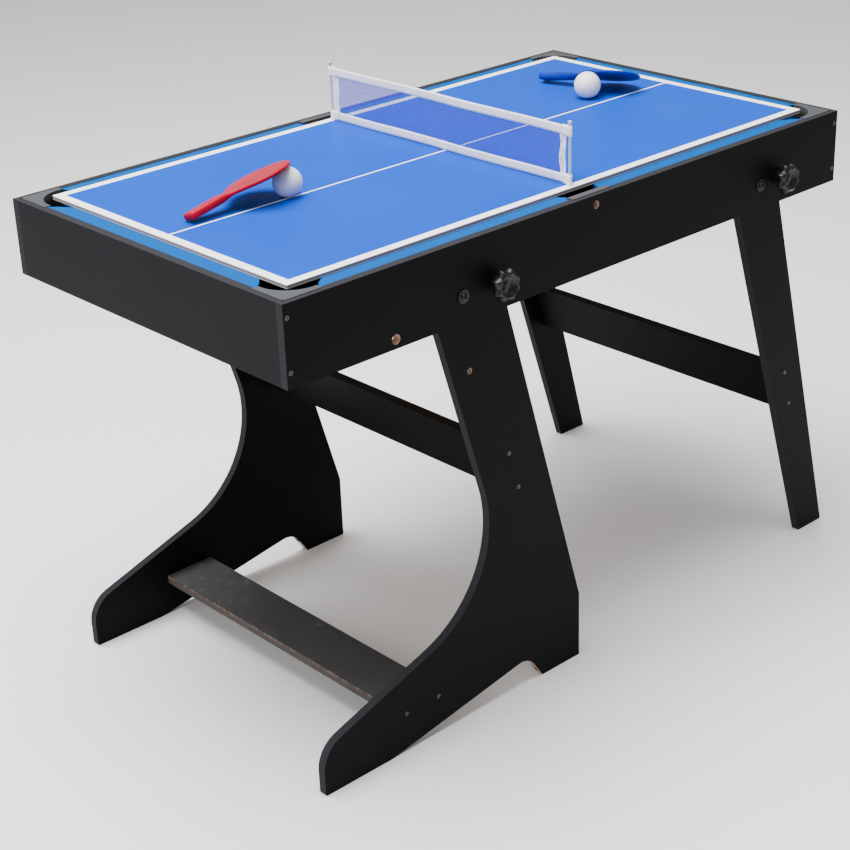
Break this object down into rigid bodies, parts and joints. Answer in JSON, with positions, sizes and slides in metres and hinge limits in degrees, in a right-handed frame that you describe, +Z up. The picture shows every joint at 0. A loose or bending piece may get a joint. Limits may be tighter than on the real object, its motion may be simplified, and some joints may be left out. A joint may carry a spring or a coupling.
{
  "type": "folding pool and table-tennis games table",
  "caption": "Folding games table: a six-pocket pool bed under a lift-off table-tennis board with net, bats and balls, on a curved folding stand and splayed folding legs.",
  "frame": {"origin": "on the floor, under the middle of the whole outline", "axes": "+X along the table from the curved stand towards the straight legs, +Y across the table from the near side to the far side, +Z up"},
  "size_m": [1.0824, 0.624, 0.7858],
  "materials": {
    "black_board": "fibreboard with a satin black film",
    "raw_board": "raw fibreboard",
    "bed_cloth": "short-napped blue cloth",
    "cushion_cloth": "blue cloth stretched over foam",
    "pocket_plastic": "moulded grey plastic",
    "screw_steel": "blackened steel",
    "zinc_steel": "zinc plate",
    "spacer_plastic": "black nylon",
    "knob_plastic": "black moulded plastic",
    "tennis_board": "satin blue lacquer, white border and centre lines",
    "net_post": "clear blue-grey plastic",
    "net_tape": "white woven tape",
    "net_mesh": "fine blue net",
    "bat_red": "one-piece moulded red plastic",
    "bat_blue": "one-piece moulded blue plastic",
    "ball_white": "thin white celluloid-like plastic"
  },
  "bodies": {
    "table_frame": {"apron_screws": "screw_steel", "bed_board": "raw_board", "bed_cloth": "bed_cloth", "bed_rail_left": "black_board", "bed_rail_right": "black_board", "corner_pocket_far_left": "pocket_plastic", "corner_pocket_far_right": "pocket_plastic", "corner_pocket_near_left": "pocket_plastic", "corner_pocket_near_right": "pocket_plastic", "cushion_end_left": "cushion_cloth", "cushion_end_right": "cushion_cloth", "cushion_far_left": "cushion_cloth", "cushion_far_right": "cushion_cloth", "cushion_near_left": "cushion_cloth", "cushion_near_right": "cushion_cloth", "end_apron_left": "black_board", "end_apron_right": "black_board", "pivot_bolts": "zinc_steel", "pivot_nuts": "zinc_steel", "pivot_spacers": "spacer_plastic", "pivot_washers": "zinc_steel", "side_apron_far": "black_board", "side_apron_near": "black_board", "side_pocket_far": "pocket_plastic", "side_pocket_near": "pocket_plastic"},
    "curved_stand": {"stand_foot_plank": "black_board", "stand_panel_far": "black_board", "stand_panel_near": "black_board", "stand_rail": "black_board", "stand_screws": "screw_steel", "stand_t_nuts": "zinc_steel"},
    "straight_legs": {"leg_panel_far": "black_board", "leg_panel_near": "black_board", "leg_rail": "black_board", "leg_screws": "screw_steel", "leg_t_nuts": "zinc_steel"},
    "stand_washer_near": {"knob_washer_stand_near": "spacer_plastic"},
    "stand_knob_near": {"knob_stand_near": "knob_plastic", "knob_stud_stand_near": "zinc_steel"},
    "stand_washer_far": {"knob_washer_stand_far": "spacer_plastic"},
    "stand_knob_far": {"knob_stand_far": "knob_plastic", "knob_stud_stand_far": "zinc_steel"},
    "leg_washer_near": {"knob_washer_leg_near": "spacer_plastic"},
    "leg_knob_near": {"knob_leg_near": "knob_plastic", "knob_stud_leg_near": "zinc_steel"},
    "leg_washer_far": {"knob_washer_leg_far": "spacer_plastic"},
    "leg_knob_far": {"knob_leg_far": "knob_plastic", "knob_stud_leg_far": "zinc_steel"},
    "tennis_board": {"tennis_board": "tennis_board"},
    "net": {"net_bottom_tape": "net_tape", "net_end_tapes": "net_tape", "net_mesh": "net_mesh", "net_post_far": "net_post", "net_post_near": "net_post", "net_top_tape": "net_tape"},
    "bat_red": {"bat_red": "bat_red"},
    "bat_blue": {"bat_blue": "bat_blue"},
    "ball_by_red_bat": {"ball_by_red_bat": "ball_white"},
    "ball_by_blue_bat": {"ball_by_blue_bat": "ball_white"}
  },
  "joints": [
    {"name": "stand_fold", "type": "hinge", "parent": "table_frame", "child": "curved_stand", "pos_m": [-0.262, 0, 0.625], "axis": [0, 1, 0], "range_deg": [0, 90]},
    {"name": "leg_fold", "type": "hinge", "parent": "table_frame", "child": "straight_legs", "pos_m": [0.323, 0, 0.625], "axis": [0, 1, 0], "range_deg": [0, 90]},
    {"name": "stand_knob_out_near", "type": "slide", "parent": "table_frame", "child": "stand_washer_near", "axis": [0, -1, 0], "range_m": [0, 0.0101]},
    {"name": "stand_knob_turn_near", "type": "hinge", "parent": "stand_washer_near", "child": "stand_knob_near", "pos_m": [-0.206, -0.291, 0.629], "axis": [0, -1, 0], "range_deg": [0, 3600]},
    {"name": "stand_knob_out_far", "type": "slide", "parent": "table_frame", "child": "stand_washer_far", "axis": [0, 1, 0], "range_m": [0, 0.0101]},
    {"name": "stand_knob_turn_far", "type": "hinge", "parent": "stand_washer_far", "child": "stand_knob_far", "pos_m": [-0.206, 0.291, 0.629], "axis": [0, 1, 0], "range_deg": [0, 3600]},
    {"name": "leg_knob_out_near", "type": "slide", "parent": "table_frame", "child": "leg_washer_near", "axis": [0, -1, 0], "range_m": [0, 0.0101]},
    {"name": "leg_knob_turn_near", "type": "hinge", "parent": "leg_washer_near", "child": "leg_knob_near", "pos_m": [0.361, -0.291, 0.63], "axis": [0, -1, 0], "range_deg": [0, 3600]},
    {"name": "leg_knob_out_far", "type": "slide", "parent": "table_frame", "child": "leg_washer_far", "axis": [0, 1, 0], "range_m": [0, 0.0101]},
    {"name": "leg_knob_turn_far", "type": "hinge", "parent": "leg_washer_far", "child": "leg_knob_far", "pos_m": [0.361, 0.291, 0.63], "axis": [0, 1, 0], "range_deg": [0, 3600]},
    {"name": "board_lift", "type": "slide", "parent": "table_frame", "child": "tennis_board", "axis": [0, 0, 1], "range_m": [0, 0.25]},
    {"name": "net_lift", "type": "slide", "parent": "tennis_board", "child": "net", "axis": [0, 0, 1], "range_m": [0, 0.12]},
    {"name": "red_bat_lift", "type": "slide", "parent": "tennis_board", "child": "bat_red", "axis": [0, 0, 1], "range_m": [0, 0.1]},
    {"name": "blue_bat_lift", "type": "slide", "parent": "tennis_board", "child": "bat_blue", "axis": [0, 0, 1], "range_m": [0, 0.1]},
    {"name": "red_side_ball_roll", "type": "slide", "parent": "tennis_board", "child": "ball_by_red_bat", "axis": [1, 0, 0], "range_m": [0, 0.1]},
    {"name": "blue_side_ball_roll", "type": "slide", "parent": "tennis_board", "child": "ball_by_blue_bat", "axis": [-0.9659, -0.2588, 0], "range_m": [0, 0.1]}
  ],
  "couplings": [
    {"joint": "leg_fold", "follows": "stand_fold", "ratio": 1},
    {"joint": "stand_knob_out_near", "follows": "stand_knob_turn_near", "m_per_rad": 0.00015915},
    {"joint": "stand_knob_out_far", "follows": "stand_knob_turn_far", "m_per_rad": 0.00015915},
    {"joint": "leg_knob_out_near", "follows": "leg_knob_turn_near", "m_per_rad": 0.00015915},
    {"joint": "leg_knob_out_far", "follows": "leg_knob_turn_far", "m_per_rad": 0.00015915}
  ]
}
